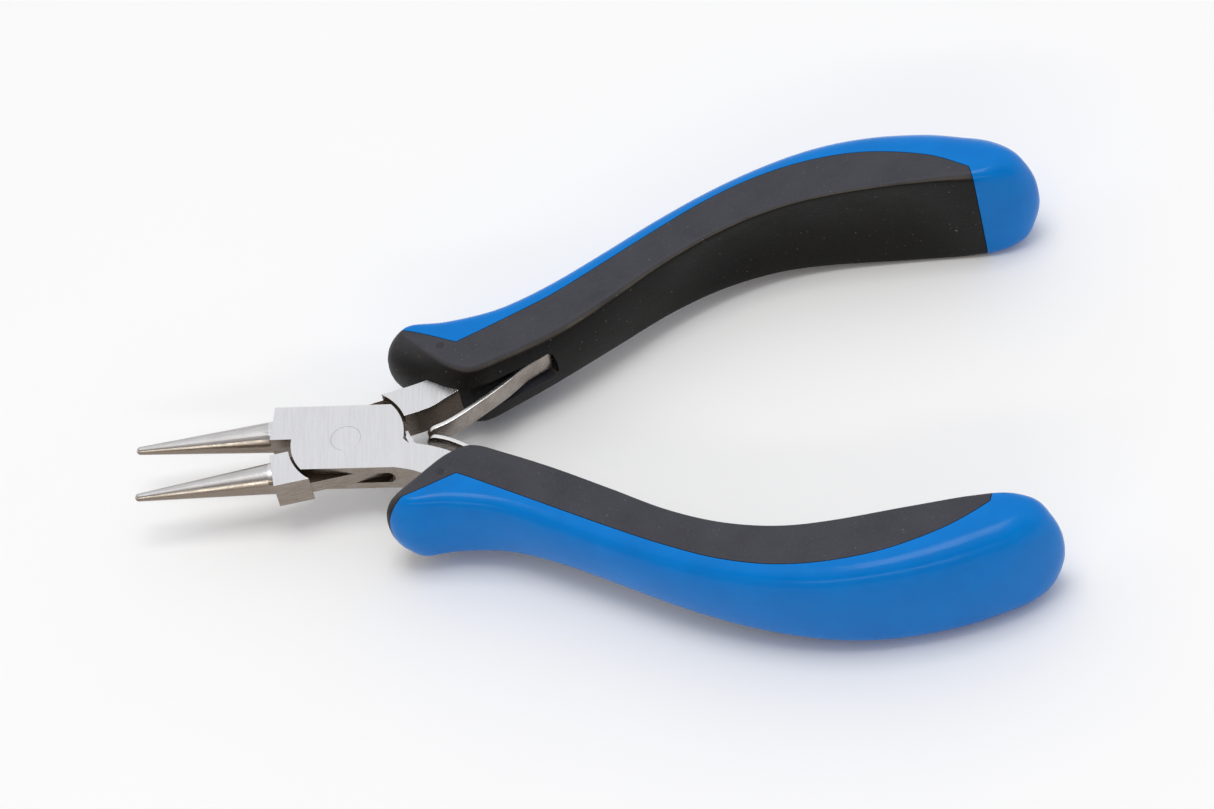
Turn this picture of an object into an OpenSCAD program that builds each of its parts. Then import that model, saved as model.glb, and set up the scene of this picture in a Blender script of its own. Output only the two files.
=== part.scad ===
// Round nose pliers with a box joint, two leaf springs and two-tone moulded grips.
// Each arm is drawn closed, with its handle towards +Y and its jaw towards -Y, and the joint
// pin at the origin. It is then turned by half of the opening and moved to the resting frame:
// X along the pliers with the jaws at -X, Z through the thickness, the grips' flats at Z = 0.

/* [Joint] */
// Half of the angle between the arms at rest, in degrees
half_opening = 6.8; // [5:0.1:8]
// Thickness of both steel arms
arm_t = 4.6; // [4.2:0.1:5]
// Width of the box across the pliers, on the jaw's side of the pin
box_half_w = 5.95; // [5.6:0.05:6.3]
// Gap in the box arm that holds the tongue
slot_t = 2.1; // [1.8:0.1:2.4]
// Play between the tongue and each wall of the box
slide_play = 0.04; // [0.02:0.01:0.08]
// Radius of the joint pin
pin_r = 2.15; // [1.8:0.05:2.4]
// Radial play of the tongue on the pin
pin_play = 0.03; // [0.01:0.01:0.08]

/* [Jaws] */
// Length of each round jaw
jaw_l = 20; // [16:0.2:23]
// Radius of a jaw where it leaves its block
jaw_base_r = 2.25; // [2:0.05:2.25]
// Radius of a jaw at its tip
jaw_tip_r = 0.58; // [0.5:0.02:0.58]
// Distance from the pin to the front of the jaw blocks
block_x = 11; // [10.6:0.1:11.4]

/* [Leaf springs] */
// Thickness of a leaf
leaf_t = 0.7; // [0.6:0.05:0.7]
// Width of a leaf
leaf_w = 3.0; // [2.4:0.1:3.2]
// Radius of the shank of the rivet that holds a leaf
rivet_r = 0.55; // [0.5:0.05:0.6]

/* [Grips] */
// Depth of the grip's nose through the thickness of the pliers
nose_h = 12.8; // [12:0.1:13.4]
// Depth of the grip at its waist
waist_h = 10.3; // [9.8:0.1:11]
// Depth of the grip at its tail, where the pliers rest
tail_h = 17.6; // [16.6:0.2:18.6]

/* [Hidden] */
$fn = 64;
far = 200;
steel = [0.78, 0.78, 0.80];
spring_steel = [0.66, 0.65, 0.64];
shell_blue = [0.02, 0.40, 0.75];
insert_black = [0.10, 0.10, 0.11];

// Arcs about the pin that let one arm turn inside the other, as radii
shoulder_r = 7.9;                 // left edge of the box's walls
block_arc_r = shoulder_r + 0.4;   // tongue arm's jaw block, in front of that edge
rear_r = 8.3;                     // rear edge of the box's walls
tang_arc_r = rear_r + 0.5;        // tongue arm's tang, behind that edge
tongue_r = 7.95;
slot_r = tongue_r + 0.1;
tongue_half_w = 5.6;
box_low_w = 5.35;                 // half width of the box on the handle's side
slot_end_x = 6.35;                // centre of the slot's milled end, from the pin
mate_gap = 0.1;                   // half of the gap between the closed jaw blocks
tongue_t = slot_t - 2 * slide_play;

// Line of a jaw's axis, which lets the two tips meet first
jaw_base_y = jaw_base_r + 0.2;
jaw_tip_y = jaw_tip_r + 0.02;
jaw_angle = asin((jaw_base_y - jaw_tip_y) / jaw_l);
tip_ball_x = block_x + jaw_l * cos(jaw_angle) - jaw_tip_r;

// Leaf spring, flat at its rivet, then gently waved, with a curved end that meets the other leaf
rivet_at = [39, 14];
leaf_angle = 30.7;
foot_l = 1.9;
foot_gap = 0.15;                  // play above and below the leaf at its rivet
pad_l = 1.4;
pad_h = 1.2;
// A leaf's centre line from its foot to its free end, from the rivet and along leaf_angle
leaf_points = [
    [foot_l, 0], [-8, 0], [-11.2, -0.05], [-14.6, 0.32], [-18.6, -0.02], [-22.6, -0.02],
    [-26.8, 0.15], [-29.2, 0.55], [-31.4, 1.35]
];
rivet_head_r = 1.0;
rivet_head_h = 0.4;
rivet_depth = 2.4;
hole_play = 0.15;

// Grip outline in plan, closed and anticlockwise from the front of the nose
grip_points = [
    [7.3, 13.0], [8.6, 10.6], [12.2, 7.4], [15.9, 4.7], [19.2, 3.8], [24, 4.9],
    [32, 7.8], [40, 11.8], [48, 16.2], [56, 19.3], [64, 20.8], [72, 20.7], [82, 19.3], [93, 17.2],
    [99, 17.0], [102.4, 19.6], [100.6, 23.0], [95, 27.0], [88, 29.6], [80, 31.3], [72, 31.9],
    [64, 31.1], [56, 29.2], [48, 26.3], [40, 22.7], [32, 19.1], [24, 16.1], [17, 15.3],
    [11.4, 16.1], [8.3, 15.2]
];
// Line in plan between the outer shell and the inner insert, from the nose to the tail
split_points = [
    [2, 17.2], [9.6, 14.9], [13.5, 12.4], [17.4, 10.1], [18.4, 10.1], [24, 12.3], [32, 15.6],
    [40, 19.3], [48, 22.9], [56, 26.0], [64, 27.8], [72, 28.0], [80, 26.6], [88, 23.3], [93.4, 19.4]
];
split_end = [94.3, 10];
// Half depth of the grip along the pliers: the nose, the waist and the tail's flat
depth_points = [
    [6.4, nose_h / 2 - 3.2], [8.2, nose_h / 2 - 1.2], [11.5, nose_h / 2], [18, nose_h / 2 - 0.2],
    [34, waist_h / 2], [48, waist_h / 2 + 0.5], [62, tail_h / 2 - 2.1], [76, tail_h / 2 - 0.8],
    [88, tail_h / 2], [97, tail_h / 2], [100.4, tail_h / 2 - 1.2], [103, tail_h / 2 - 4.4]
];
// Tang outlines in plan: the inner edge out to the end of the tang, then the outer edge back
box_inner_edge = [[9.4, 0.1], [9.8, 0.4], [10.2, 1.2], [12.7, 1.8], [15.7, 3.0]];
tongue_inner_edge = [[7.0, 1.6], [12.2, 2.3], [14.7, 3.4]];
tang_inner_edge = [
    [18.0, 5.0], [22, 7.5], [27, 10.3], [33, 12.7], [39, 15.5], [46, 18.9], [54, 22.3], [60, 24.2]
];
tang_outer_edge = [
    [60.3, 26.4], [54, 25.0], [46, 22.2], [38, 18.9], [30, 15.6], [22, 12.0], [17, 9.4]
];
tongue_outer_edge = [[13.3, 7.7], [10, 7.0], [4.6, 6.45]];
box_outer_edge = [[13.5, 7.5], [10.6, 6.1], [7.6, 5.4]];

// Point at a share t of the way from b to c on a smooth curve through a, b, c and d
function smooth_point(a, b, c, d, t) =
    0.5 * (2 * b + (c - a) * t + (2 * a - 5 * b + 4 * c - d) * t * t + (3 * b - a - 3 * c + d) * t * t * t);
function closed_curve(points, steps) = [
    for (i = [0 : len(points) - 1]) for (s = [0 : steps - 1])
        let (n = len(points))
        smooth_point(points[(i + n - 1) % n], points[i], points[(i + 1) % n], points[(i + 2) % n], s / steps)
];
function open_curve(points, steps) = concat([
    for (i = [0 : len(points) - 2]) for (s = [0 : steps - 1])
        let (last = len(points) - 1)
        smooth_point(points[max(i - 1, 0)], points[i], points[i + 1], points[min(i + 2, last)], s / steps)
], [points[len(points) - 1]]);

// The same line moved sideways by d
function beside(line, d) = [
    for (i = [0 : len(line) - 1])
        let (along = line[min(i + 1, len(line) - 1)] - line[max(i - 1, 0)])
        line[i] + d * [-along.y, along.x] / norm(along)
];
function backwards(line) = [for (i = [len(line) - 1 : -1 : 0]) line[i]];

grip_outline = closed_curve(grip_points, 3);
leaf_line = open_curve(leaf_points, 4);
leaf_tip = -leaf_points[len(leaf_points) - 1].x;

// The resting frame: the middle of the length and the underside of the tails
tail_x = max([for (p = grip_outline) p.x * cos(half_opening) - p.y * sin(half_opening)]);
tip_x = tip_ball_x * cos(half_opening) - jaw_tip_y * sin(half_opening) + jaw_tip_r;
middle_x = (tail_x - tip_x) / 2;

module tongue_side() {
    translate([-middle_x, 0, tail_h / 2]) rotate([0, 0, half_opening]) children();
}

module box_side() {
    translate([-middle_x, 0, tail_h / 2]) rotate([0, 0, -half_opening]) mirror([0, 1, 0]) children();
}

// One arm's outline raised evenly above and below the middle plane
module layer(t) {
    linear_extrude(height = t, center = true) children();
}

// Round tapering jaw with a ball tip
module jaw() {
    translate([-block_x, -jaw_base_y, 0]) rotate([0, 0, -jaw_angle]) rotate([0, -90, 0])
        rotate_extrude() union() {
            polygon([
                [0, -0.6], [jaw_base_r, -0.6], [jaw_base_r, 0],
                [jaw_tip_r, jaw_l - jaw_tip_r], [0, jaw_l - jaw_tip_r]
            ]);
            translate([0, jaw_l - jaw_tip_r]) intersection() {
                circle(r = jaw_tip_r);
                square([jaw_tip_r, jaw_tip_r]);
            }
        }
}

module jaw_block(half_w) {
    translate([-block_x, -half_w]) square([block_x, half_w - mate_gap]);
}

// Places its children at the rivet, with X along the blade towards the tail and Y towards the tang
module at_rivet() {
    translate(rivet_at) rotate([0, 0, leaf_angle]) children();
}

// The rivet's axis, with Z towards the tang
module along_rivet() {
    at_rivet() rotate([-90, 0, 0]) children();
}

// Low boss on the tang that carries the foot of the leaf
module spring_pad() {
    at_rivet() translate([-pad_l, leaf_t / 2 + foot_gap]) square([pad_l + foot_l, pad_h]);
}

module rivet_hole() {
    along_rivet() cylinder(r = rivet_r, h = leaf_t / 2 + foot_gap + rivet_depth);
}

module box_head() {
    intersection() {
        circle(r = shoulder_r);
        translate([-far / 2, -box_half_w]) square([far, box_half_w + box_low_w]);
    }
    jaw_block(box_half_w);
    intersection() {
        circle(r = rear_r);
        translate([0, -box_half_w]) square([rear_r, box_half_w]);
    }
}

module box_tang() {
    polygon(concat(
        [[0, -0.4], [8.6, -0.4], [9.1, -0.5]],
        open_curve(concat(box_inner_edge, tang_inner_edge), 3),
        open_curve(concat(tang_outer_edge, box_outer_edge), 3),
        [[0, box_low_w]]
    ));
}

// Narrow relief behind the box's rear edge
module box_relief() {
    polygon([[rear_r, -1], [rear_r, 0.3], [9.25, 1.15], [8.65, 0.1], [8.72, -1]]);
}

module box_arm_plan() {
    difference() {
        union() {
            box_head();
            box_tang();
            spring_pad();
        }
        box_relief();
    }
}

// Where the tongue and its tang pass through the box arm
module box_slot() {
    circle(r = slot_r);
    translate([0, -far / 2]) square([tang_arc_r, far / 2]);
}

// The slot's milled end on the tang's side, round when seen along the pliers' width
module slot_end() {
    rotate([-90, 0, 0]) linear_extrude(height = 2 * box_low_w) {
        translate([slot_end_x, 0]) circle(r = slot_t / 2);
        translate([0, -slot_t / 2]) square([slot_end_x, slot_t]);
    }
}

module box_arm() {
    color(steel) box_side() difference() {
        union() {
            layer(arm_t) box_arm_plan();
            jaw();
        }
        layer(slot_t) box_slot();
        slot_end();
        cylinder(r = pin_r, h = far, center = true);
        rivet_hole();
    }
}

module tongue_tang() {
    polygon(concat(
        [[0, 0]],
        open_curve(concat(tongue_inner_edge, tang_inner_edge), 3),
        open_curve(concat(tang_outer_edge, tongue_outer_edge), 3),
        [[0, tongue_half_w]]
    ));
}

module tongue() {
    intersection() {
        circle(r = tongue_r);
        square([far, 2 * tongue_half_w], center = true);
    }
}

module tongue_arm() {
    color(steel) tongue_side() difference() {
        union() {
            layer(tongue_t) union() {
                tongue();
                jaw_block(tongue_half_w);
                tongue_tang();
            }
            layer(arm_t) difference() {
                jaw_block(box_half_w - 0.15);
                circle(r = block_arc_r);
            }
            layer(arm_t) difference() {
                union() {
                    tongue_tang();
                    spring_pad();
                }
                circle(r = tang_arc_r);
            }
            jaw();
        }
        cylinder(r = pin_r + pin_play, h = far, center = true);
        rivet_hole();
    }
}

module joint_pin() {
    edge = 0.04;
    color(steel) box_side() rotate_extrude() polygon([
        [0, -arm_t / 2], [pin_r - edge, -arm_t / 2], [pin_r, -arm_t / 2 + edge],
        [pin_r, arm_t / 2 - edge], [pin_r - edge, arm_t / 2], [0, arm_t / 2]
    ]);
}

module leaf_plan() {
    polygon(concat(beside(leaf_line, leaf_t / 2), backwards(beside(leaf_line, -leaf_t / 2))));
}

// Side view of a leaf, with its rounded free end
module leaf_side() {
    translate([-leaf_tip + leaf_w / 2, 0]) circle(r = leaf_w / 2);
    translate([-leaf_tip + leaf_w / 2, -leaf_w / 2]) square([leaf_tip + foot_l, leaf_w]);
}

module leaf() {
    difference() {
        intersection() {
            at_rivet() layer(leaf_w) leaf_plan();
            at_rivet() rotate([90, 0, 0]) layer(far) leaf_side();
        }
        along_rivet() cylinder(r = rivet_r + hole_play, h = 4 * leaf_t, center = true);
    }
}

module box_leaf_spring() {
    color(spring_steel) box_side() leaf();
}

module tongue_leaf_spring() {
    color(spring_steel) tongue_side() leaf();
}

module rivet() {
    seat = leaf_t / 2 + foot_gap;
    along_rivet() {
        translate([0, 0, -seat - rivet_head_h]) cylinder(r = rivet_head_r, h = rivet_head_h);
        translate([0, 0, -seat]) cylinder(r = rivet_r, h = 2 * seat + rivet_depth);
    }
}

module box_spring_rivet() {
    color(steel) box_side() rivet();
}

module tongue_spring_rivet() {
    color(steel) tongue_side() rivet();
}

// Side view of a grip
module depth_profile() {
    polygon(concat(
        depth_points,
        [for (p = backwards(depth_points)) [p.x, -p.y]]
    ));
}

module outer_region() {
    polygon(concat(open_curve(split_points, 3), [split_end, [far, 10], [far, far], [2, far]]));
}

module grip_blank() {
    intersection() {
        layer(far) polygon(grip_outline);
        rotate([90, 0, 0]) layer(far) depth_profile();
    }
}

// Open channel for the blade, with rounded corners, then a closed pocket for its foot and rivet
module spring_pocket() {
    channel_w = 5.2;
    channel_end = 10.3;
    channel_l = 24;
    corner_r = 1.3;
    channel_depth = 8;
    play = 0.3;
    overlap = 0.2;
    below = leaf_t / 2 + foot_gap + rivet_head_h + 0.1;
    above = leaf_t / 2 + foot_gap + pad_h;
    at_rivet() {
        rotate([90, 0, 0]) translate([0, 0, -above]) linear_extrude(height = above + channel_depth) {
            translate([-channel_end - corner_r, channel_w / 2 - corner_r]) circle(r = corner_r);
            translate([-channel_end - corner_r, corner_r - channel_w / 2]) circle(r = corner_r);
            translate([-channel_end - channel_l, -channel_w / 2])
                square([channel_l - corner_r, channel_w]);
            translate([-channel_end - channel_l, corner_r - channel_w / 2])
                square([channel_l, channel_w - 2 * corner_r]);
        }
        translate([-channel_end - overlap, -below, -leaf_w / 2 - play])
            cube([channel_end + foot_l + overlap + play, below + above + overlap, leaf_w + 2 * play]);
    }
}

module box_tang_space() {
    layer(arm_t) union() {
        box_tang();
        spring_pad();
    }
}

module tongue_tang_space() {
    layer(arm_t) union() {
        tongue_tang();
        spring_pad();
    }
}

module box_grip_shell() {
    color(shell_blue) box_side() difference() {
        intersection() {
            grip_blank();
            layer(far) outer_region();
        }
        box_tang_space();
    }
}

module tongue_grip_shell() {
    color(shell_blue) tongue_side() difference() {
        intersection() {
            grip_blank();
            layer(far) outer_region();
        }
        tongue_tang_space();
    }
}

module box_grip_insert() {
    color(insert_black) box_side() difference() {
        grip_blank();
        layer(far) outer_region();
        box_tang_space();
        spring_pocket();
    }
}

module tongue_grip_insert() {
    color(insert_black) tongue_side() difference() {
        grip_blank();
        layer(far) outer_region();
        tongue_tang_space();
        spring_pocket();
    }
}

box_arm();
tongue_arm();
joint_pin();
box_leaf_spring();
tongue_leaf_spring();
box_spring_rivet();
tongue_spring_rivet();
box_grip_shell();
tongue_grip_shell();
box_grip_insert();
tongue_grip_insert();
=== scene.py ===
"""Round nose pliers: moulded grips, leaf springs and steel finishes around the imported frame.

A grip and a leaf are drawn in millimetres, as in the CAD source: the pliers are closed, the
joint pin is at the origin and the handle is towards +X +Y. place() takes a finished mesh to
the row frame, in metres.
"""

import math

import bmesh
import bpy
import numpy as np
from mathutils import Matrix, Quaternion, Vector


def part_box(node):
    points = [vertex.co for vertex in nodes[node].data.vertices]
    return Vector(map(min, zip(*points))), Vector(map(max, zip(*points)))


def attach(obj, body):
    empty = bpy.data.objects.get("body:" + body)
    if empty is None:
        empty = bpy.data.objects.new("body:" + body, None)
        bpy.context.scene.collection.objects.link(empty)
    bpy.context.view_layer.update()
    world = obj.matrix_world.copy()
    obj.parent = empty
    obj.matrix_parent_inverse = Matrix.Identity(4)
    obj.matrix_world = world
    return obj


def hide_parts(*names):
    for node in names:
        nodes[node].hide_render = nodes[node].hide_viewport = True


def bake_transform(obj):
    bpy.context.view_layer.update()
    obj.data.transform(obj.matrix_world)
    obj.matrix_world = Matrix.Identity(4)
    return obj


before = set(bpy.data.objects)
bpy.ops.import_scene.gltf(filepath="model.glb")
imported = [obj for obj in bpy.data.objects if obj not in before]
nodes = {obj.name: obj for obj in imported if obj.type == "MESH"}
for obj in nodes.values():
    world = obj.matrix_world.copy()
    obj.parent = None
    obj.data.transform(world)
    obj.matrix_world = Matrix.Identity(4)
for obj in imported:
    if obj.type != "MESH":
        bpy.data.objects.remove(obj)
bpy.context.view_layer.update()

MM = 0.001

# ---------------------------------------------------------------- driving sizes, in mm and degrees

HALF_OPENING = 6.8
ARM_T = 4.6
LEAF_T = 0.7
LEAF_W = 3.0
RIVET_R = 0.55
RIVET_AT = (39.0, 14.0)
LEAF_ANGLE = 30.7
FOOT_L = 1.9
# Centre line of a leaf: distance from the rivet towards the tail, and offset towards the tang
LEAF_CURVE = [(FOOT_L, 0.0), (-8.0, 0.0), (-11.2, -0.05), (-14.6, 0.32), (-18.6, -0.02),
              (-22.6, -0.02), (-26.8, 0.15), (-29.2, 0.55), (-31.4, 1.35)]
FOOT_GAP = 0.15  # between a leaf's foot and the pad that it lies on
PAD_L = 1.4
PAD_H = 1.2
HOLE_PLAY = 0.15
RIVET_HEAD_H = 0.4
CHANNEL_END = -10.3  # where the open channel stops, from the rivet
EJECTOR_AT = (15.5, 9.7)  # the round mark on a nose's face
SEAM = 0.05  # half of the gap between a shell and its insert
TANG_GAP = 0.03  # play drawn round a tang where it enters its grip

pin_low, pin_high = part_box("joint_pin")
PIVOT = (pin_low + pin_high) / 2

# Grip outline at mid depth: x, y, how far in the face's edge lies (or its own place), edge radius
GRIP = [
    (7.3, 13.0, (10.7, 13.4), 0.8),
    (8.6, 10.6, (11.8, 11.9), 0.8),
    (12.2, 7.4, (14.0, 9.3), 0.9),
    (15.9, 4.7, (16.5, 6.9), 1.3),
    (19.2, 3.8, (19.3, 5.6), 1.4),
    (24.0, 4.9, 1.9, 1.4),
    (32.0, 7.8, 1.9, 1.4),
    (40.0, 11.8, 1.6, 1.2),
    (48.0, 16.2, 1.1, 0.9),
    (56.0, 19.3, 0.85, 0.75),
    (64.0, 20.8, 0.7, 0.6),
    (72.0, 20.7, 0.6, 0.5),
    (82.0, 19.3, 0.7, 0.6),
    (93.0, 17.2, 1.6, 1.4),
    (99.0, 17.0, (96.9, 19.7), 3.0),
    (102.4, 19.6, (96.9, 20.9), 4.7),
    (100.6, 23.0, (96.3, 21.8), 4.0),
    (95.0, 27.0, 4.3, 3.9),
    (88.0, 29.6, 4.0, 3.7),
    (80.0, 31.3, 3.5, 3.2),
    (72.0, 31.9, 3.4, 3.1),
    (64.0, 31.1, 3.3, 3.0),
    (56.0, 29.2, 3.2, 2.9),
    (48.0, 26.3, 3.0, 2.7),
    (40.0, 22.7, 2.8, 2.5),
    (32.0, 19.1, 2.6, 2.3),
    (24.0, 16.1, 2.5, 2.2),
    (17.0, 15.3, 2.4, 2.1),
    (11.4, 16.1, (12.6, 13.9), 1.6),
    (8.3, 15.2, (11.1, 13.9), 1.0),
]
NOSE_TIP = 1.5  # the rows of GRIP at the two ends of the handle, counted from 0
TAIL_TIP = 15
# Half depth of the face along the handle
DEPTH = [(5, 6.2), (11.5, 6.4), (18, 6.2), (26, 5.6), (34, 5.2), (48, 5.65), (62, 6.7),
         (76, 8.0), (88, 8.75), (92, 8.8), (95.5, 8.8), (98.5, 8.6), (106, 7.6)]
# Line between the shell and the insert, from the nose to the tail
SPLIT = [(2, 16.5), (9.4, 14.4), (13.5, 12.4), (17.4, 10.1), (18.4, 10.1), (24, 12.3), (32, 15.6),
         (40, 19.3), (48, 22.9), (56, 26.0), (64, 27.8), (72, 28.0), (80, 26.6), (88, 23.3),
         (93.4, 19.4)]
SPLIT_END = (94.3, 10)

# A tang's outline inside its grip: its root at the joint, its inner side and its outer side
BOX_ROOT = [(0, 5.35), (0, -0.4), (8.6, -0.4), (9.1, -0.5)]
BOX_INNER = [(9.4, 0.1), (9.8, 0.4), (10.2, 1.2), (12.7, 1.8), (15.7, 3.0)]
BOX_OUTER = [(13.5, 7.5), (10.6, 6.1), (7.6, 5.4)]
TONGUE_ROOT = [(0, 5.6), (0, 0)]
TONGUE_INNER = [(7.0, 1.6), (12.2, 2.3), (14.7, 3.4)]
TONGUE_OUTER = [(13.3, 7.7), (10, 7.0), (4.6, 6.45)]
TANG_INNER = [(18.0, 5.0), (22, 7.5), (27, 10.3), (33, 12.7), (39, 15.5), (46, 18.9), (54, 22.3),
              (60, 24.2)]
TANG_OUTER = [(60.3, 26.4), (54, 25.0), (46, 22.2), (38, 18.9), (30, 15.6), (22, 12.0), (17, 9.4)]


# ---------------------------------------------------------------- curves and meshes

WELD_DISTANCE = 0.004  # in mm
SHORTEST_EDGE = 0.002


def spline(points, steps, closed):
    """Points on a smooth curve through the given ones, of any dimension."""
    p = np.array(points, float)
    n = len(p)
    out = []
    for i in range(n if closed else n - 1):
        if closed:
            a, b, c, d = p[i - 1], p[i], p[(i + 1) % n], p[(i + 2) % n]
        else:
            a, b, c, d = p[max(i - 1, 0)], p[i], p[i + 1], p[min(i + 2, n - 1)]
        for s in range(steps):
            t = s / steps
            out.append(
                0.5 * (2 * b + (c - a) * t + (2 * a - 5 * b + 4 * c - d) * t**2
                       + (3 * b - a - 3 * c + d) * t**3)
            )
    if not closed:
        out.append(p[-1])
    return np.array(out)


def smoothstep(low, high, x):
    """0 before low, 1 after high, and a smooth change between them."""
    t = np.clip((x - low) / (high - low), 0, 1)
    return t * t * (3 - 2 * t)


def mesh_object(name, verts, faces):
    """A new object whose faces all look outwards."""
    mesh = bpy.data.meshes.new(name)
    mesh.from_pydata([tuple(v) for v in verts], [], faces)
    mesh.validate()
    obj = bpy.data.objects.new(name, mesh)
    bpy.context.scene.collection.objects.link(obj)
    bm = bmesh.new()
    bm.from_mesh(mesh)
    bmesh.ops.recalc_face_normals(bm, faces=bm.faces)
    bm.to_mesh(mesh)
    bm.free()
    return obj


def solid_between(name, first, second):
    """A closed solid between two outlines with the same number of corners."""
    n = len(first)
    faces = [tuple(range(n)), tuple(range(n, 2 * n))]
    faces += [(i, (i + 1) % n, n + (i + 1) % n, n + i) for i in range(n)]
    return mesh_object(name, first + second, faces)


def prism(name, outline, low, high):
    """A flat outline raised from low to high."""
    return solid_between(name, [(x, y, low) for x, y in outline], [(x, y, high) for x, y in outline])


def apply_modifiers(obj):
    """Makes an object's modifiers a part of its mesh."""
    graph = bpy.context.evaluated_depsgraph_get()
    mesh = bpy.data.meshes.new_from_object(obj.evaluated_get(graph))
    obj.modifiers.clear()
    old = obj.data
    obj.data = mesh
    bpy.data.meshes.remove(old)


def boolean(obj, cutter, operation):
    """Cuts obj by cutter for good, and removes the cutter."""
    modifier = obj.modifiers.new("cut", "BOOLEAN")
    modifier.operation = operation
    modifier.solver = "MANIFOLD"
    modifier.object = cutter
    apply_modifiers(obj)
    bpy.data.objects.remove(cutter)


def place(obj, mirrored, sharp_angle):
    """Takes a mesh in mm to its side of the open pliers in the row frame, and shades it."""
    side = -1 if mirrored else 1
    turn = Matrix.Rotation(math.radians(side * HALF_OPENING), 4, "Z")
    flip = Matrix.Diagonal((1, side, 1, 1))
    bm = bmesh.new()
    bm.from_mesh(obj.data)
    bmesh.ops.remove_doubles(bm, verts=bm.verts, dist=WELD_DISTANCE)
    bmesh.ops.dissolve_degenerate(bm, edges=bm.edges, dist=SHORTEST_EDGE)
    bm.transform(Matrix.Translation(PIVOT) @ turn @ flip @ Matrix.Scale(MM, 4))
    if mirrored:
        bmesh.ops.reverse_faces(bm, faces=bm.faces)
    bm.to_mesh(obj.data)
    bm.free()
    for polygon in obj.data.polygons:
        polygon.use_smooth = True
    obj.data.set_sharp_from_angle(angle=math.radians(sharp_angle))
    obj.data.update()


def to_row(point, mirrored):
    """A point in mm in the closed frame, as a point in the row frame."""
    side = -1 if mirrored else 1
    turn = Matrix.Rotation(math.radians(side * HALF_OPENING), 3, "Z")
    return PIVOT + turn @ (Vector((point[0], side * point[1], point[2])) * MM)


def at_rivet(x, y):
    """A point given along and across the blade, from the rivet."""
    a = math.radians(LEAF_ANGLE)
    return (RIVET_AT[0] + x * math.cos(a) - y * math.sin(a),
            RIVET_AT[1] + x * math.sin(a) + y * math.cos(a))


def rivet_prism(name, along, across, half_w):
    """A block in the leaf's own directions: along the blade, across it, and in depth."""
    corners = [at_rivet(along[0], across[0]), at_rivet(along[1], across[0]),
               at_rivet(along[1], across[1]), at_rivet(along[0], across[1])]
    return prism(name, corners, -half_w, half_w)


def rivet_cutter(name, profile, low, high):
    """A profile, along the blade and in depth, drawn out across the blade from low to high."""
    return solid_between(name, [(*at_rivet(x, low), z) for x, z in profile],
                         [(*at_rivet(x, high), z) for x, z in profile])


# ---------------------------------------------------------------- grips

OUTLINE_STEPS = 24  # samples between two neighbouring rows of GRIP
COLUMNS = 180  # stations along each side of a grip
WALL_ROWS = 12
EDGE_ROWS = 7
FACE_ROWS = 10
DEPTH_STEPS = 12
SPLIT_STEPS = 6
TANG_STEPS = 3
SLOPE_ROUNDS = 6  # rounds in which a wall's slope at its edge settles
BARREL = 2.3  # how late the wall leans in towards the face
HOLLOW = 1.4  # depth of the finger hollow along the inner wall
HOLLOW_STARTS = (46, 60)
HOLLOW_ENDS = (82, 93)
HOLLOW_POWER = 1.5  # how closely the hollow keeps to mid depth
OUTSIDE = (140, 60)  # a corner beyond the grip's tail and its outer side
PAST_FACES = 30  # half height of a cutter that passes both faces
PAD_TOP = LEAF_T / 2 + FOOT_GAP + PAD_H
PAD_SINK = 0.6  # how far the pad's room reaches into the tang's
CHANNEL_HALF_W = 2.6
CHANNEL_CORNER_R = 1.3
CHANNEL_L = 24  # long enough to run out past the nose
CHANNEL_LOW = -8.0  # deep enough to be open towards the other handle
CORNER_STEPS = 12
HEAD_PLAY = 0.1
POCKET_PLAY = 0.3  # round the leaf's foot
OVERLAP = 0.2  # how far the pocket reaches into the channel and the tang's room
GRIP_SHARP = 32  # angle in degrees above which an edge is shaded sharp
LEAF_SHARP = 40


def grip_rows():
    """The outline's samples as x, y, face x, face y, edge radius."""
    n = len(GRIP)
    rows = []
    for i, (x, y, inset, radius) in enumerate(GRIP):
        if isinstance(inset, tuple):
            face = inset
        else:
            ahead, behind = GRIP[(i + 1) % n], GRIP[i - 1]
            tx, ty = ahead[0] - behind[0], ahead[1] - behind[1]
            size = math.hypot(tx, ty)
            face = (x - ty / size * inset, y + tx / size * inset)
        rows.append((x, y, face[0], face[1], radius))
    return rows


def even(samples, start, end, count):
    """Samples spaced evenly by distance along the curve from one index to another."""
    part = np.array([samples[i % len(samples)] for i in range(start, end + 1)])
    run = np.concatenate([[0], np.cumsum(np.hypot(*np.diff(part[:, :2], axis=0).T))])
    at = np.linspace(0, run[-1], count + 1)
    return np.stack([np.interp(at, run, part[:, k]) for k in range(part.shape[1])], axis=1)


depth_curve = spline(DEPTH, DEPTH_STEPS, False)


def half_depth(x):
    return np.interp(x, depth_curve[:, 0], depth_curve[:, 1])


def section(lean_and_edge, radius, depth):
    """How far in and how high each ring of one wall lies, from mid depth to the face."""
    slope = 0.0
    for _ in range(SLOPE_ROUNDS):
        lean = max(lean_and_edge - radius * math.cos(slope), 0.0)
        wall = depth - radius * (1 - math.sin(slope))
        slope = math.atan(BARREL * lean / wall)
    rings = []
    for i in range(WALL_ROWS + 1):
        t = i / WALL_ROWS
        rings.append((lean * t**BARREL, wall * t))
    for i in range(1, EDGE_ROWS + 1):
        a = slope + (math.pi / 2 - slope) * i / EDGE_ROWS
        rings.append((lean + radius * (math.cos(slope) - math.cos(a)),
                      wall + radius * (math.sin(a) - math.sin(slope))))
    return rings


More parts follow.
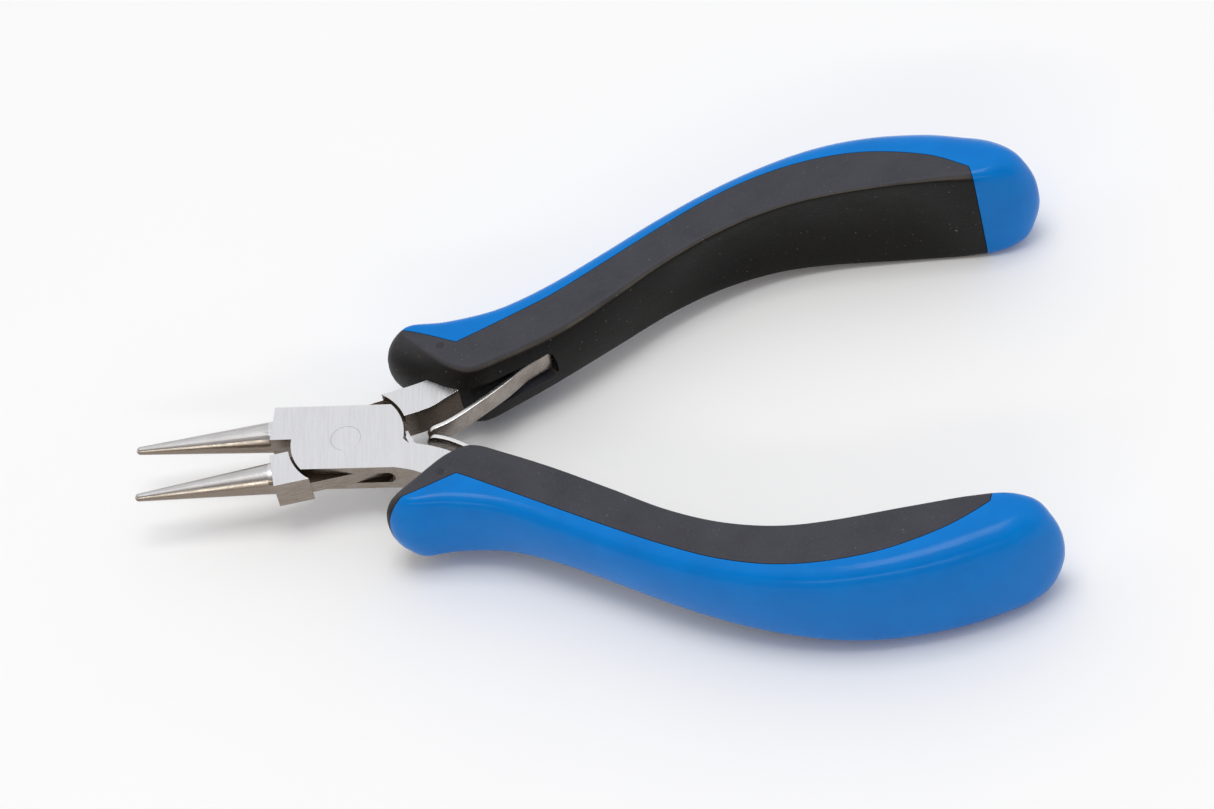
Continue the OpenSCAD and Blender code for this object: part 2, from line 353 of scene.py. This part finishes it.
def grip_columns():
    """The points of each station round a grip, from mid depth to the face's edge."""
    samples = spline(grip_rows(), OUTLINE_STEPS, True)
    start, tail = int(NOSE_TIP * OUTLINE_STEPS), TAIL_TIP * OUTLINE_STEPS
    inner = even(samples, start, tail, COLUMNS)
    outer = even(samples, tail, start + len(samples), COLUMNS)
    columns = []
    for k, (x, y, fx, fy, radius) in enumerate(np.concatenate([inner[:-1], outer[:-1]])):
        reach = math.hypot(fx - x, fy - y)
        ux, uy = (fx - x) / reach, (fy - y) / reach
        hollow = 0.0
        if k < COLUMNS:
            hollow = HOLLOW * float(smoothstep(*HOLLOW_STARTS, x) * (1 - smoothstep(*HOLLOW_ENDS, x)))
        rings = section(reach, radius, float(half_depth(fx)))
        top = rings[WALL_ROWS][1]
        column = []
        for inset, z in rings:
            share = max(0.0, 1 - (z / top) ** 2)
            inset += hollow * share**HOLLOW_POWER
            column.append((x + ux * inset, y + uy * inset, z))
        columns.append(column)
    return columns


def grip_blank(name):
    """One whole grip as a closed mesh: barrelled walls, rounded edges and two flat faces."""
    columns = grip_columns()
    count = len(columns)
    levels = len(columns[0])
    verts = []
    ring_index = {}
    for level in range(-(levels - 1), levels):
        for k in range(count):
            x, y, z = columns[k][abs(level)]
            ring_index[level, k] = len(verts)
            verts.append((x, y, math.copysign(z, level) if level else 0.0))
    faces = []
    for level in range(-(levels - 1), levels - 1):
        for k in range(count):
            n = (k + 1) % count
            faces.append((ring_index[level, k], ring_index[level, n],
                          ring_index[level + 1, n], ring_index[level + 1, k]))

    for sign in (-1, 1):
        edge = sign * (levels - 1)
        rungs = []
        for i in range(1, COLUMNS):
            a, b = ring_index[edge, i], ring_index[edge, count - i]
            rung = [a]
            for j in range(1, FACE_ROWS):
                t = j / FACE_ROWS
                x = verts[a][0] * (1 - t) + verts[b][0] * t
                y = verts[a][1] * (1 - t) + verts[b][1] * t
                rung.append(len(verts))
                verts.append((x, y, sign * float(half_depth(x))))
            rung.append(b)
            rungs.append(rung)
        for first, second in zip(rungs, rungs[1:]):
            for j in range(FACE_ROWS):
                faces.append((first[j], first[j + 1], second[j + 1], second[j]))
        for tip, rung in ((ring_index[edge, 0], rungs[0]),
                          (ring_index[edge, COLUMNS], rungs[-1])):
            for j in range(FACE_ROWS):
                faces.append((tip, rung[j], rung[j + 1]))
    return mesh_object(name, verts, faces)


def outer_prism(shift):
    """Everything on the shell's side of the seam, moved that far off it."""
    line = spline(SPLIT, SPLIT_STEPS, False)
    line = np.concatenate([line, [SPLIT_END]])
    tangent = np.gradient(line, axis=0)
    tangent /= np.linalg.norm(tangent, axis=1)[:, None]
    normal = np.stack([-tangent[:, 1], tangent[:, 0]], axis=1)
    moved = line + shift * normal
    corners = [(OUTSIDE[0], SPLIT_END[1]), OUTSIDE, (SPLIT[0][0], OUTSIDE[1])]
    return prism("outer_prism", [tuple(p) for p in moved] + corners, -PAST_FACES, PAST_FACES)


def tang_prism(mirrored):
    """The room that a steel tang takes inside its grip. The mirrored side is the box arm's."""
    if mirrored:
        root, inner, outer = BOX_ROOT, BOX_INNER, BOX_OUTER
    else:
        root, inner, outer = TONGUE_ROOT, TONGUE_INNER, TONGUE_OUTER
    line = root + [tuple(p) for p in spline(inner + TANG_INNER, TANG_STEPS, False)]
    line += [tuple(p) for p in spline(TANG_OUTER + outer, TANG_STEPS, False)]
    half = ARM_T / 2 + TANG_GAP
    return prism("tang_prism", line, -half, half)


def channel_prism():
    """The spring's open channel, with the rounded corners of its end."""
    profile = [(CHANNEL_END - CHANNEL_L, -CHANNEL_HALF_W)]
    for i in range(-CORNER_STEPS, CORNER_STEPS + 1):
        a = math.pi / 2 * i / CORNER_STEPS
        centre = float(np.sign(i)) * (CHANNEL_HALF_W - CHANNEL_CORNER_R)
        profile.append((CHANNEL_END - CHANNEL_CORNER_R + CHANNEL_CORNER_R * math.cos(a),
                        centre + CHANNEL_CORNER_R * math.sin(a)))
    profile.append((CHANNEL_END - CHANNEL_L, CHANNEL_HALF_W))
    return rivet_cutter("channel_prism", profile, CHANNEL_LOW, PAD_TOP)


def make_grip(side, mirrored):
    """One side's shell and insert, cut from the same blank along the seam."""
    shell = grip_blank(f"{side}_handle_shell")
    boolean(shell, outer_prism(SEAM), "INTERSECT")
    boolean(shell, tang_prism(mirrored), "DIFFERENCE")

    insert = grip_blank(f"{side}_handle_insert")
    boolean(insert, outer_prism(-SEAM), "DIFFERENCE")
    boolean(insert, tang_prism(mirrored), "DIFFERENCE")
    pad_room = (LEAF_T / 2 + FOOT_GAP, PAD_TOP + PAD_SINK)
    boolean(insert, rivet_prism("pad", (-PAD_L, FOOT_L), pad_room, ARM_T / 2), "DIFFERENCE")
    boolean(insert, channel_prism(), "DIFFERENCE")
    below = LEAF_T / 2 + FOOT_GAP + RIVET_HEAD_H + HEAD_PLAY
    pocket = rivet_prism("pocket", (CHANNEL_END - OVERLAP, FOOT_L + POCKET_PLAY),
                         (-below, PAD_TOP + OVERLAP), LEAF_W / 2 + POCKET_PLAY)
    boolean(insert, pocket, "DIFFERENCE")
    for obj in (shell, insert):
        place(obj, mirrored, GRIP_SHARP)
    return shell, insert


# ---------------------------------------------------------------- leaf springs

LEAF_STEPS = 12
LEAF_STATIONS = 120  # along the blade, from the foot to the start of the rounded tip
LEAF_SIDES = 24
FOOT_EDGE = 0.5  # length of the foot's end, before the evenly spaced stations
LEAF_SOFT = 0.14  # size of the softened edges
SOFT_SHARE = 0.8  # the most of a small half width or thickness that an edge takes
TIP_STEPS = 16
TIP_HALF_W = 0.22
HOLE_SIDES = 40
HOLE_REACH = 2
BEND_START = -2  # where the bend starts, from the rivet
BEND_STOP = 5  # how far before the tip it stops

leaf_curve = spline(LEAF_CURVE, LEAF_STEPS, False)[::-1]
leaf_slope = np.gradient(leaf_curve[:, 1], leaf_curve[:, 0])


def leaf_line(x):
    """Centre line of a leaf at a place along the blade: its offset and its slope."""
    offset = float(np.interp(x, leaf_curve[:, 0], leaf_curve[:, 1]))
    return offset, float(np.interp(x, leaf_curve[:, 0], leaf_slope))


def leaf_stations():
    """Place along the blade, half width and half thickness, from the foot to the tip."""
    half_w, half_t = LEAF_W / 2, LEAF_T / 2
    tip = LEAF_CURVE[-1][0]
    stations = []
    for back, shrink in ((0.0, 1.0), (0.3, 0.3), (1.0, 0.0)):
        stations.append((FOOT_L - back * LEAF_SOFT, half_w - shrink * LEAF_SOFT,
                         half_t - shrink * LEAF_SOFT))
    for x in np.linspace(FOOT_L - FOOT_EDGE, tip + half_w, LEAF_STATIONS):
        stations.append((x, half_w, half_t))
    for i in range(1, TIP_STEPS + 1):
        a = math.pi / 2 * (1 - i / TIP_STEPS)
        width = max(half_w * math.sin(a), TIP_HALF_W)
        last_two = max(0, i - (TIP_STEPS - 2))
        stations.append((tip + half_w * (1 - math.cos(a)), width, half_t - LEAF_SOFT * last_two / 2))
    return stations


def make_leaf(name, mirrored):
    """A leaf with softened edges, a curled end and a rounded tip, and the ends of its bend."""
    stations = leaf_stations()
    verts, faces = [], []
    for x, w, t in stations:
        across, slope = leaf_line(x)
        size = math.hypot(1, slope)
        corner = min(LEAF_SOFT, SOFT_SHARE * w, SOFT_SHARE * t)
        for i in range(LEAF_SIDES):
            turn = math.tau * (i + 0.5) / LEAF_SIDES
            cx, cz = math.cos(turn), math.sin(turn)
            y = math.copysign(t - corner, cx) + corner * cx
            z = math.copysign(w - corner, cz) + corner * cz
            verts.append((*at_rivet(x - y * slope / size, across + y / size), z))
    for s in range(len(stations) - 1):
        near, far = s * LEAF_SIDES, (s + 1) * LEAF_SIDES
        for i in range(LEAF_SIDES):
            n = (i + 1) % LEAF_SIDES
            faces.append((near + i, near + n, far + n, far + i))
    last = (len(stations) - 1) * LEAF_SIDES
    faces += [tuple(range(LEAF_SIDES)), tuple(range(last, last + LEAF_SIDES))]
    leaf = mesh_object(name, verts, faces)

    radius = RIVET_R + HOLE_PLAY
    turns = [math.tau * i / HOLE_SIDES for i in range(HOLE_SIDES)]
    profile = [(radius * math.cos(turn), radius * math.sin(turn)) for turn in turns]
    boolean(leaf, rivet_cutter("rivet_hole", profile, -HOLE_REACH, HOLE_REACH), "DIFFERENCE")
    place(leaf, mirrored, LEAF_SHARP)
    tip = LEAF_CURVE[-1][0]
    bend = [to_row((*at_rivet(x, 0), 0), mirrored) for x in (BEND_START, tip + BEND_STOP)]
    return leaf, bend[0], bend[1]


# ---------------------------------------------------------------- materials

# Where a finish changes: distances behind the joint pin, in mm, or in front of it where negative
JAW_ROOT = (-11.3, -11.1)
BLOCK_BACK = (-10.6, -10.4)
TANG_FRONT = (8.0, 10.0)
NOSE_BACK = (14.0, 22.0)
# Height above mid thickness, in mm, over which the recessed faces and their painted shade end
RECESS_TOP = (1.4, 1.9)
# Radius of an ejector's mark, in mm, from its dark middle to its edge
EJECTOR_R = (0.48, 0.70)

FACE_STEEL = (0.90, 0.895, 0.91)
# Tone of the steel's sides: painted shade and painted brown reflection
SHADED_SIDE_STEEL = (0.25, 0.205, 0.165)
TANG_WALL_SHADE = (0.060, 0.044, 0.033)
RECESS_SHADE = (0.075, 0.055, 0.042)
EDGE_HIGHLIGHT_STEEL = (0.93, 0.915, 0.90)
EDGE_HIGHLIGHT_RUBBER = (0.105, 0.088, 0.062)
SPOT_RUBBER = (0.020, 0.019, 0.022)
SPECK = (0.16, 0.15, 0.14)

# A jaw's tones from its sides to its top: a painted reflection of the studio's light and dark bands
JAW_PAINTED_REFLECTION = [
    (0.00, (0.25, 0.205, 0.165)), (0.42, (0.27, 0.22, 0.18)), (0.56, (0.82, 0.75, 0.66)),
    (0.70, (0.80, 0.74, 0.67)), (0.80, (0.44, 0.41, 0.39)), (0.90, (0.54, 0.52, 0.51)),
    (1.00, (0.74, 0.73, 0.73)),
]


def fill_ramp(node, stops):
    """Sets a ramp's colours at places between 0 and 1."""
    elements = node.color_ramp.elements
    for element, (position, colour) in zip(elements, (stops[0], stops[-1])):
        element.position, element.color = position, (*colour, 1)
    for position, colour in stops[1:-1]:
        elements.new(position).color = (*colour, 1)


class Tree:
    """A short way to write a material's nodes. Lengths are in metres where not said."""

    def __init__(self, name):
        self.material = bpy.data.materials.new(name)
        self.material.use_nodes = True
        self.tree = self.material.node_tree
        self.shader = self.tree.nodes["Principled BSDF"]
        self.coordinates = self.tree.nodes.new("ShaderNodeTexCoord")

    def new(self, kind, **values):
        node = self.tree.nodes.new(kind)
        for key, value in values.items():
            setattr(node, key, value)
        return node

    def link(self, output, target):
        self.tree.links.new(output, target)

    def noise(self, scale, detail, roughness, stretch=(1, 1, 1), turn=0.0):
        """Noise in the object's own space, stretched along axes that are turned about Z."""
        mapping = self.new("ShaderNodeMapping")
        mapping.inputs["Scale"].default_value = stretch
        mapping.inputs["Rotation"].default_value[2] = turn
        self.link(self.coordinates.outputs["Object"], mapping.inputs["Vector"])
        node = self.new("ShaderNodeTexNoise")
        self.link(mapping.outputs["Vector"], node.inputs["Vector"])
        node.inputs["Scale"].default_value = scale
        node.inputs["Detail"].default_value = detail
        node.inputs["Roughness"].default_value = roughness
        return node.outputs["Fac"]

    def axis(self, kind, letter):
        """One axis of the object's coordinates or of its normal."""
        split = self.new("ShaderNodeSeparateXYZ")
        self.link(self.coordinates.outputs[kind], split.inputs["Vector"])
        return split.outputs[letter]

    def span(self, value, low, high, to_low, to_high, smooth=False):
        """A value from low to high, moved to lie from to_low to to_high."""
        node = self.new("ShaderNodeMapRange")
        if smooth:
            node.interpolation_type = "SMOOTHSTEP"
        self.link(value, node.inputs["Value"])
        limits = {"From Min": low, "From Max": high, "To Min": to_low, "To Max": to_high}
        for key, number in limits.items():
            node.inputs[key].default_value = number
        return node.outputs["Result"]

    def maths(self, operation, a, b=None):
        node = self.new("ShaderNodeMath", operation=operation)
        for socket, value in zip(node.inputs, (a, b)):
            if isinstance(value, (int, float)):
                socket.default_value = value
            elif value is not None:
                self.link(value, socket)
        return node.outputs["Value"]

    def product(self, a, b):
        return self.maths("MULTIPLY", a, b)

    def mix(self, factor, a, b):
        """Colour a where the factor is 0, and b where it is 1."""
        node = self.new("ShaderNodeMix", data_type="RGBA")
        sockets = [s for s in node.inputs if s.enabled]
        for socket, value in zip(sockets, (factor, a, b)):
            if isinstance(value, tuple):
                socket.default_value = (*value, 1.0)
            else:
                self.link(value, socket)
        return next(s for s in node.outputs if s.enabled)

    def ramp(self, value, stops):
        """Colours at places between 0 and 1."""
        node = self.new("ShaderNodeValToRGB")
        fill_ramp(node, stops)
        self.link(value, node.inputs["Fac"])
        return node.outputs["Color"]

    def facing_depth(self, low, high, smooth=True):
        """1 on the faces across the thickness, 0 on the sides."""
        return self.span(self.maths("ABSOLUTE", self.axis("Normal", "Z")), low, high, 0, 1, smooth)

    def behind_pin(self, place, before, after):
        """A value that changes between two distances behind the joint pin, in mm."""
        start, end = (PIVOT.x + distance * MM for distance in place)
        return self.span(self.axis("Object", "X"), start, end, before, after)

    def bump(self, height, strength, distance):
        node = self.new("ShaderNodeBump")
        node.inputs["Strength"].default_value = strength
        node.inputs["Distance"].default_value = distance
        self.link(height, node.inputs["Height"])
        self.link(node.outputs["Normal"], self.shader.inputs["Normal"])

    def finish(self, tone, rough, **values):
        """Links the colour and roughness, and sets the shader's other sockets."""
        self.link(tone, self.shader.inputs["Base Color"])
        if isinstance(rough, float):
            self.shader.inputs["Roughness"].default_value = rough
        else:
            self.link(rough, self.shader.inputs["Roughness"])
        for key, value in values.items():
            self.shader.inputs[key.replace("_", " ")].default_value = value
        return self.material


def steel_material(name, turn, inner_way):
    """Ground steel: bright faces with fine lines across, satin sides with lines along, painted darker
    brown as shade and reflection.

    A round jaw has polishing streaks along its length, over tones by facing that are a painted
    reflection. The tang's wall that faces the other handle is painted dark as shade, and so are the
    recessed faces of the box joint.
    inner_way is the sign of Y that this wall faces, or 0 on a part without one.
    """
    t = Tree(name)
    across = t.noise(1.0, 4.0, 0.65, stretch=(3400, 150, 150), turn=turn)
    along = t.noise(1.0, 4.0, 0.6, stretch=(90, 4200, 4200), turn=turn)
    cloud = t.noise(260, 4.0, 0.55)
    on_jaw = t.behind_pin(JAW_ROOT, 1.0, 0.0)
    flat = t.facing_depth(0.55, 0.98)
    ground = t.product(flat, t.maths("SUBTRACT", 1.0, on_jaw))
    lines = t.mix(ground, along, across)
    # Sides darker and browner than the faces: painted shade and painted reflection
    tone = t.mix(flat, SHADED_SIDE_STEEL, FACE_STEEL)
    tone = t.mix(t.span(lines, 0.40, 0.66, 0.0, 0.25), tone, (0.48, 0.47, 0.47))
    tone = t.mix(t.span(cloud, 0.35, 0.7, 0.0, 0.12), tone, tuple(0.72 * v for v in FACE_STEEL))
    # Jaw tones by facing: painted reflection; the darker streaks along it are polishing lines
    jaw_reflection_and_streaks = t.ramp(t.facing_depth(0.0, 1.0, smooth=False), JAW_PAINTED_REFLECTION)
    jaw_reflection_and_streaks = t.mix(t.span(along, 0.42, 0.64, 0.0, 0.30), jaw_reflection_and_streaks, (0.34, 0.30, 0.27))
    tone = t.mix(on_jaw, tone, jaw_reflection_and_streaks)
    # The tang's wall that faces the other handle: painted shade
    if inner_way:
        inward = t.span(t.product(t.axis("Normal", "Y"), inner_way), 0.3, 0.6, 0.0, 0.85)
        on_tang = t.behind_pin(TANG_FRONT, 0.0, 1.0)
        tone = t.mix(t.product(inward, on_tang), tone, TANG_WALL_SHADE)
    # Recessed faces of the box joint: painted shade in the crevices
    height = t.maths("ABSOLUTE", t.maths("SUBTRACT", t.axis("Object", "Z"), PIVOT.z))
    deep = t.span(height, RECESS_TOP[0] * MM, RECESS_TOP[1] * MM, 1.0, 0.0)
    behind_blocks = t.behind_pin(BLOCK_BACK, 0.0, 1.0)
    recess = t.product(t.product(deep, behind_blocks), t.facing_depth(0.8, 0.9))
    tone = t.mix(recess, tone, RECESS_SHADE)
    rough = t.maths("ADD", t.span(lines, 0.3, 0.7, 0.24, 0.34), t.span(cloud, 0.3, 0.7, -0.03, 0.04))
    t.bump(t.product(lines, t.span(on_jaw, 0.0, 1.0, 1.0, 0.3)), 0.22, 0.00004)
    return t.finish(tone, rough, Metallic=1.0)


def spring_material(name, turn):
    """Spring steel: warm grey, with lines along the blade, and its narrow edges painted bright as a
    highlight.
    """
    t = Tree(name)
    along = t.noise(1.0, 4.0, 0.6, stretch=(150, 4200, 4200), turn=turn)
    cloud = t.noise(420, 3.0, 0.5)
    tone = t.mix(t.span(cloud, 0.3, 0.7, 0.0, 1.0), (0.30, 0.265, 0.24), (0.42, 0.38, 0.35))
    tone = t.mix(t.span(along, 0.3, 0.75, 0.0, 0.35), tone, (0.22, 0.18, 0.155))
    # Narrow edges facing up: painted highlight
    tone = t.mix(t.facing_depth(0.55, 0.9), tone, EDGE_HIGHLIGHT_STEEL)
    t.bump(along, 0.15, 0.00004)
    return t.finish(tone, t.span(along, 0.3, 0.7, 0.22, 0.36), Metallic=1.0)


def shell_material():
    """Hard blue plastic: semi-gloss, faintly mottled, with a fine orange peel."""
    t = Tree("shell_plastic")
    cloud = t.noise(130, 3.0, 0.55)
    patch = t.noise(520, 5.0, 0.6)
    peel = t.noise(1500, 2.0, 0.5)
    scuff = t.noise(1.0, 3.0, 0.7, stretch=(900, 5200, 5200))
    tone = t.mix(t.span(cloud, 0.3, 0.7, 0.0, 1.0), (0.000, 0.174, 0.580), (0.000, 0.202, 0.650))
    tone = t.mix(t.span(patch, 0.55, 0.8, 0.0, 0.30), tone, (0.000, 0.20, 0.64))
    tone = t.mix(t.span(scuff, 0.66, 0.80, 0.0, 0.25), tone, (0.03, 0.25, 0.64))
    rough = t.maths("ADD", t.span(patch, 0.3, 0.7, 0.17, 0.25), t.span(scuff, 0.6, 0.8, 0.0, 0.10))
    t.bump(t.maths("ADD", peel, t.product(patch, 0.6)), 0.10, 0.00010)
    return t.finish(tone, rough, Specular_IOR_Level=0.15)


def insert_material():
    """Soft black grip: matt and finely grained, with specks; its flat faces painted lighter grey and
    its walls darker, as light and shade.

    Its rounded edges behind the nose carry a painted tan highlight, and each nose has the faint
    round mark of an ejector.
    """
    t = Tree("insert_rubber")
    cloud = t.noise(160, 4.0, 0.6)
    grain = t.noise(3300, 3.0, 0.65)
    speck = t.noise(2300, 1.0, 0.4)
    flat = t.facing_depth(0.35, 0.92)
    shade = t.span(cloud, 0.3, 0.7, 0.0, 1.0)
    # Walls darker than the lighter grey flat faces: painted shade and painted light
    wall = t.mix(shade, (0.0015, 0.0011, 0.0009), (0.0040, 0.0032, 0.0026))
    face = t.mix(shade, (0.037, 0.038, 0.048), (0.052, 0.053, 0.066))
    tone = t.mix(flat, wall, face)
    # Tan line on the rounded edges behind the nose: painted highlight
    rounded = t.product(t.facing_depth(0.42, 0.62),
                        t.maths("SUBTRACT", 1.0, t.facing_depth(0.68, 0.86)))
    edge_highlight = t.product(rounded, t.span(cloud, 0.35, 0.65, 0.25, 0.85))
    tone = t.mix(t.product(edge_highlight, t.behind_pin(NOSE_BACK, 0.15, 1.0)), tone, EDGE_HIGHLIGHT_RUBBER)
    for mirrored in (True, False):
        away = t.new("ShaderNodeVectorMath", operation="DISTANCE")
        t.link(t.coordinates.outputs["Object"], away.inputs[0])
        away.inputs[1].default_value = to_row((*EJECTOR_AT, half_depth(EJECTOR_AT[0])), mirrored)
        middle, edge = (radius * MM for radius in EJECTOR_R)
        spot = t.span(away.outputs["Value"], middle, edge, 0.6, 0.0, smooth=True)
        tone = t.mix(spot, tone, SPOT_RUBBER)
    # Grain tone lighter on the flat faces than on the walls: painted light
    grain_and_painted_light = t.mix(flat, (0.030, 0.026, 0.022), (0.085, 0.083, 0.086))
    tone = t.mix(t.span(grain, 0.50, 0.75, 0.0, 0.35), tone, grain_and_painted_light)
    tone = t.mix(t.span(speck, 0.73, 0.79, 0.0, 0.5), tone, SPECK)
    rough = t.maths("ADD", t.span(cloud, 0.3, 0.7, 0.42, 0.54), t.span(grain, 0.3, 0.7, -0.04, 0.08))
    t.bump(grain, 0.45, 0.00012)
    return t.finish(tone, rough, Specular_IOR_Level=0.24)


def paper_material():
    """White paper with a barely uneven tone."""
    t = Tree("paper")
    tone = t.mix(t.noise(40, 2.0, 0.5), (0.965, 0.965, 0.965), (0.98, 0.98, 0.98))
    return t.finish(tone, 0.9)


# ---------------------------------------------------------------- the object

# Each steel node of the CAD: how far its arm is turned, the sign of Y that its tang's wall of painted
# shade faces (0 without one), and its softened edges' width in metres (None without any)
CAD_STEEL = {
    "box_arm": (-HALF_OPENING, 1, 0.00005),
    "tongue_arm": (HALF_OPENING, -1, 0.00005),
    "joint_pin": (-HALF_OPENING, 0, 0.00001),
    "box_spring_rivet": (-HALF_OPENING, 0, None),
    "tongue_spring_rivet": (HALF_OPENING, 0, None),
}
CAD_WELD = 2e-6
CAD_FLAT_ANGLE = 0.4
CAD_BEVEL_ANGLE = 35
NORMAL_WEIGHT = 60


def set_material(obj, material):
    """Gives a new piece its one material."""
    obj.data.materials.clear()
    obj.data.materials.append(material)


for node_name, (degrees, inner_way, edge_width) in CAD_STEEL.items():
    steel = steel_material(f"{node_name}_steel", math.radians(-degrees), inner_way)
    obj = nodes[node_name]
    if not obj.material_slots:
        obj.data.materials.append(None)
    for material_slot in obj.material_slots:
        material_slot.material = steel
    weld = obj.modifiers.new("weld", "WELD")
    weld.merge_threshold = CAD_WELD
    if edge_width:
        flats = obj.modifiers.new("flats", "DECIMATE")
        flats.decimate_type = "DISSOLVE"
        flats.angle_limit = math.radians(CAD_FLAT_ANGLE)
        bevel = obj.modifiers.new("softened_edges", "BEVEL")
        bevel.width = edge_width
        bevel.segments = 2
        bevel.limit_method = "ANGLE"
        bevel.angle_limit = math.radians(CAD_BEVEL_ANGLE)
    normals = obj.modifiers.new("normals", "WEIGHTED_NORMAL")
    normals.keep_sharp = False
    normals.weight = NORMAL_WEIGHT

shell_plastic = shell_material()
insert_rubber = insert_material()
for side, mirrored in (("box", True), ("tongue", False)):
    shell, insert = make_grip(side, mirrored)
    set_material(shell, shell_plastic)
    set_material(insert, insert_rubber)
    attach(shell, f"{side}_side")
    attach(insert, f"{side}_side")
    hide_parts(f"{side}_grip_shell")
    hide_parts(f"{side}_grip_insert")

    leaf, leaf_root, leaf_end = make_leaf(f"{side}_leaf", mirrored)
    leaf_degrees = HALF_OPENING + LEAF_ANGLE
    leaf_turn = math.radians(leaf_degrees if mirrored else -leaf_degrees)
    set_material(leaf, spring_material(f"{side}_leaf_steel", leaf_turn))
    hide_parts(f"{side}_leaf_spring")
    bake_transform(leaf)

# ---------------------------------------------------------------- floor, light and camera

FLOOR_SIZE = 3.0
FLOOR_CELLS = 8
FLOOR_LEVEL = -0.00003  # just under the pliers
SKY_STRENGTH = 0.78
SKY_WHITE = (0.97, 0.98, 1.0)
SKY_SIDE = (-0.10, -0.35)  # Y of a direction, over which the even white becomes the bands
# The front sky's tones by height, from the horizon at 0 to the zenith at 1
SKY_BANDS = [
    (0.00, (0.42, 0.36, 0.31)), (0.30, (0.55, 0.50, 0.46)), (0.52, (0.60, 0.58, 0.57)),
    (0.60, (0.22, 0.21, 0.21)), (0.74, (0.25, 0.25, 0.26)), (0.86, (0.90, 0.91, 0.93)),
    (1.00, SKY_WHITE),
]
CAMERA_AZIMUTH, CAMERA_ELEVATION, CAMERA_ROLL = 10.77, 49.30, -15.2
CAMERA_AIM = PIVOT + Vector((36.834, 2.27, 0.0)) * MM
CAMERA_DISTANCE = 0.9805
CAMERA_LENS = 207.6
CAMERA_SENSOR = 36


def area_light(name, place_at, width, height, watts, colour):
    """A rectangular lamp that shines at the origin."""
    data = bpy.data.lights.new(name, "AREA")
    data.shape = "RECTANGLE"
    data.size, data.size_y = width, height
    data.energy = watts
    data.color = colour
    light = bpy.data.objects.new(name, data)
    bpy.context.scene.collection.objects.link(light)
    light.location = place_at
    direction = Vector((0, 0, 0)) - Vector(place_at)
    light.rotation_euler = direction.to_track_quat("-Z", "Y").to_euler()


def studio_sky():
    """White light all round, with a pale and a dark band on the front side for the steel."""
    world = bpy.data.worlds.new("studio")
    bpy.context.scene.world = world
    world.use_nodes = True
    sky = world.node_tree.nodes
    link = world.node_tree.links.new
    background = sky["Background"]
    background.inputs["Strength"].default_value = SKY_STRENGTH
    direction = sky.new("ShaderNodeTexCoord")
    axes = sky.new("ShaderNodeSeparateXYZ")
    bands = sky.new("ShaderNodeValToRGB")
    fill_ramp(bands, SKY_BANDS)
    front = sky.new("ShaderNodeMapRange")
    front.inputs["From Min"].default_value, front.inputs["From Max"].default_value = SKY_SIDE
    blend = sky.new("ShaderNodeMix")
    blend.data_type = "RGBA"
    factor, even_tone, band_tone = (socket for socket in blend.inputs if socket.enabled)
    even_tone.default_value = (*SKY_WHITE, 1.0)
    link(direction.outputs["Generated"], axes.inputs["Vector"])
    link(axes.outputs["Z"], bands.inputs["Fac"])
    link(axes.outputs["Y"], front.inputs["Value"])
    link(front.outputs["Result"], factor)
    link(bands.outputs["Color"], band_tone)
    link(next(socket for socket in blend.outputs if socket.enabled), background.inputs["Color"])


bpy.ops.mesh.primitive_grid_add(x_subdivisions=FLOOR_CELLS, y_subdivisions=FLOOR_CELLS, size=FLOOR_SIZE)
floor = bpy.context.object
floor.name = "floor"
floor.location = (0, 0, FLOOR_LEVEL)
floor.data.materials.append(paper_material())

area_light("overhead", (0.0, 0.0, 1.2), 0.55, 0.55, 4.8, (1.0, 0.995, 0.985))
area_light("front_strip", (-0.1, -0.95, 0.56), 1.0, 0.08, 1.3, (1.0, 0.93, 0.84))
studio_sky()

azimuth, elevation = math.radians(CAMERA_AZIMUTH), math.radians(CAMERA_ELEVATION)
back = Vector((math.sin(azimuth) * math.cos(elevation),
               -math.cos(azimuth) * math.cos(elevation),
               math.sin(elevation)))
camera_data = bpy.data.cameras.new("camera")
camera = bpy.data.objects.new("camera", camera_data)
bpy.context.scene.collection.objects.link(camera)
camera_data.lens = CAMERA_LENS
camera_data.sensor_width = CAMERA_SENSOR
camera.location = CAMERA_AIM + back * CAMERA_DISTANCE
camera.rotation_mode = "QUATERNION"
roll = Quaternion((0, 0, 1), math.radians(CAMERA_ROLL))
camera.rotation_quaternion = (-back).to_track_quat("-Z", "Y") @ roll
bpy.context.scene.camera = camera
bpy.context.scene.view_settings.view_transform = "Standard"

bpy.context.view_layer.update()
